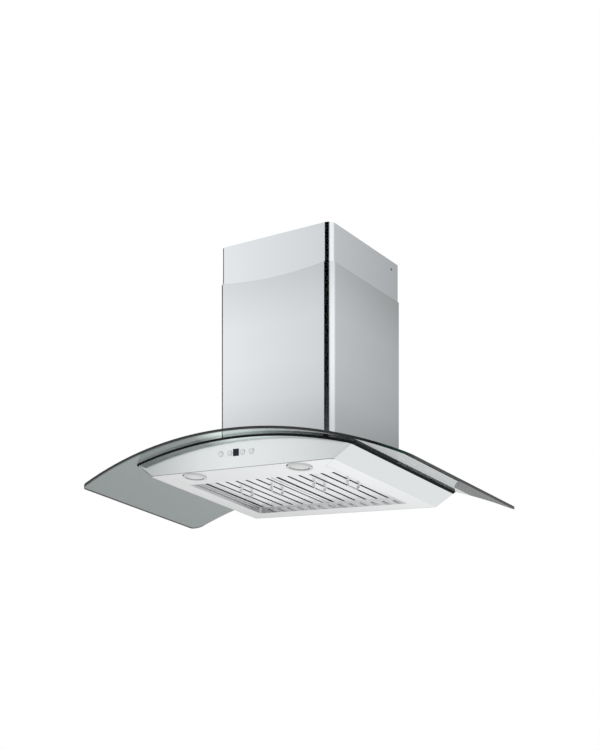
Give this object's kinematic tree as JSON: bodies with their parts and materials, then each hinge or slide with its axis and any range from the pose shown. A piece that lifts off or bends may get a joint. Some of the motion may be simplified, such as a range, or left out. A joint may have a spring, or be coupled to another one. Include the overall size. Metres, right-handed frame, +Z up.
{
  "type": "range hood",
  "caption": "Wall-mounted kitchen range hood with a bent glass canopy, flared steel body with controls and lamps, baffle filters and a two-piece chimney cover",
  "frame": {"origin": "On the wall plane, in the middle of the width, at the level of the body's underside", "axes": "+X to the right as one faces the hood, +Y into the wall, +Z up"},
  "size_m": [0.9, 0.5, 0.6409],
  "materials": {
    "panel_steel": "brushed stainless steel",
    "cover_steel": "brushed stainless steel",
    "glass": "toughened, faintly green at the edge",
    "seal": "matt",
    "zinc_sheet": "zinc coated",
    "filter_steel": "satin stainless steel",
    "wire": "polished",
    "ring_metal": "satin chrome",
    "lens": "frosted",
    "lamp_body": "as cast",
    "button_metal": "satin chrome",
    "display": "dark, glossy",
    "board": "circuit board",
    "black_plastic": "fine texture",
    "white_plastic": "smooth",
    "grey_plastic": "smooth",
    "motor_steel": "dull",
    "wheel_steel": "zinc coated",
    "fastener": "zinc plated",
    "flap_metal": "mill finish"
  },
  "bodies": {
    "hood": {"body_shell": "panel_steel", "rear_panel": "zinc_sheet", "top_plate": "zinc_sheet", "underside_frame": "panel_steel", "light_panel": "panel_steel", "glass_canopy": "glass", "glass_gasket": "seal", "glass_bushes": "seal", "glass_screws": "fastener", "lower_cover": "cover_steel", "cover_clips": "zinc_sheet", "sliding_pads": "white_plastic", "blower_box": "zinc_sheet", "blower_lid": "zinc_sheet", "scroll_casing": "zinc_sheet", "motor": "motor_steel", "motor_bracket": "zinc_sheet", "motor_screws": "fastener", "capacitor": "white_plastic", "capacitor_clip": "zinc_sheet", "junction_box": "grey_plastic", "junction_lid": "grey_plastic", "cable_gland": "black_plastic", "duct_collar": "black_plastic", "damper_pin": "fastener", "control_box": "black_plastic", "control_board": "board", "display_window": "display", "light_ring_left": "ring_metal", "light_ring_right": "ring_metal", "light_lens_left": "lens", "light_lens_right": "lens", "light_module_left": "lamp_body", "light_module_right": "lamp_body", "filter_springs": "fastener"},
    "filter_left": {"filter_frame_left": "filter_steel", "lower_baffles_left": "filter_steel", "upper_baffles_left": "filter_steel", "bail_ears_left": "filter_steel"},
    "filter_right": {"filter_frame_right": "filter_steel", "lower_baffles_right": "filter_steel", "upper_baffles_right": "filter_steel", "bail_ears_right": "filter_steel"},
    "bail_left_1": {"bail_left_1": "wire"},
    "bail_left_2": {"bail_left_2": "wire"},
    "bail_right_1": {"bail_right_1": "wire"},
    "bail_right_2": {"bail_right_2": "wire"},
    "button_1": {"button_1": "button_metal"},
    "button_2": {"button_2": "button_metal"},
    "button_3": {"button_3": "button_metal"},
    "button_4": {"button_4": "button_metal"},
    "fan_wheel": {"impeller": "wheel_steel", "impeller_hub": "lamp_body", "motor_shaft": "fastener"},
    "flap_front": {"damper_flap_front": "flap_metal"},
    "flap_rear": {"damper_flap_rear": "flap_metal"},
    "upper_chimney": {"upper_cover": "cover_steel", "upper_cover_screws": "fastener", "wall_bracket": "zinc_sheet"}
  },
  "joints": [
    {"name": "filter_left_tilt", "type": "hinge", "parent": "hood", "child": "filter_left", "pos_m": [-0.103, -0.0574, 0.0134], "axis": [1, 0, 0], "range_deg": [0, 70]},
    {"name": "filter_right_tilt", "type": "hinge", "parent": "hood", "child": "filter_right", "pos_m": [0.103, -0.0574, 0.0134], "axis": [1, 0, 0], "range_deg": [0, 70]},
    {"name": "bail_left_1_swing", "type": "hinge", "parent": "filter_left", "child": "bail_left_1", "pos_m": [-0.1325, -0.221, 0.009], "axis": [0, 1, 0], "range_deg": [-90, 90]},
    {"name": "bail_left_2_swing", "type": "hinge", "parent": "filter_left", "child": "bail_left_2", "pos_m": [-0.044, -0.221, 0.009], "axis": [0, 1, 0], "range_deg": [-90, 90]},
    {"name": "bail_right_1_swing", "type": "hinge", "parent": "filter_right", "child": "bail_right_1", "pos_m": [0.0735, -0.221, 0.009], "axis": [0, 1, 0], "range_deg": [-90, 90]},
    {"name": "bail_right_2_swing", "type": "hinge", "parent": "filter_right", "child": "bail_right_2", "pos_m": [0.162, -0.221, 0.009], "axis": [0, 1, 0], "range_deg": [-90, 90]},
    {"name": "button_1_press", "type": "slide", "parent": "hood", "child": "button_1", "axis": [0, 1, 0], "range_m": [0, 0.0015], "stiffness_N_per_m": 1000},
    {"name": "button_2_press", "type": "slide", "parent": "hood", "child": "button_2", "axis": [0, 1, 0], "range_m": [0, 0.0015], "stiffness_N_per_m": 1000},
    {"name": "button_3_press", "type": "slide", "parent": "hood", "child": "button_3", "axis": [0, 1, 0], "range_m": [0, 0.0015], "stiffness_N_per_m": 1000},
    {"name": "button_4_press", "type": "slide", "parent": "hood", "child": "button_4", "axis": [0, 1, 0], "range_m": [0, 0.0015], "stiffness_N_per_m": 1000},
    {"name": "fan_spin", "type": "hinge", "parent": "hood", "child": "fan_wheel", "pos_m": [0, -0.178, 0.19], "axis": [1, 0, 0], "continuous": true},
    {"name": "flap_front_lift", "type": "hinge", "parent": "hood", "child": "flap_front", "pos_m": [0, -0.142, 0.37], "axis": [-1, 0, 0], "range_deg": [0, 75]},
    {"name": "flap_rear_lift", "type": "hinge", "parent": "hood", "child": "flap_rear", "pos_m": [0, -0.142, 0.37], "axis": [1, 0, 0], "range_deg": [0, 75]},
    {"name": "upper_cover_slide", "type": "slide", "parent": "hood", "child": "upper_chimney", "axis": [0, 0, 1], "range_m": [-0.09, 0.23]}
  ]
}
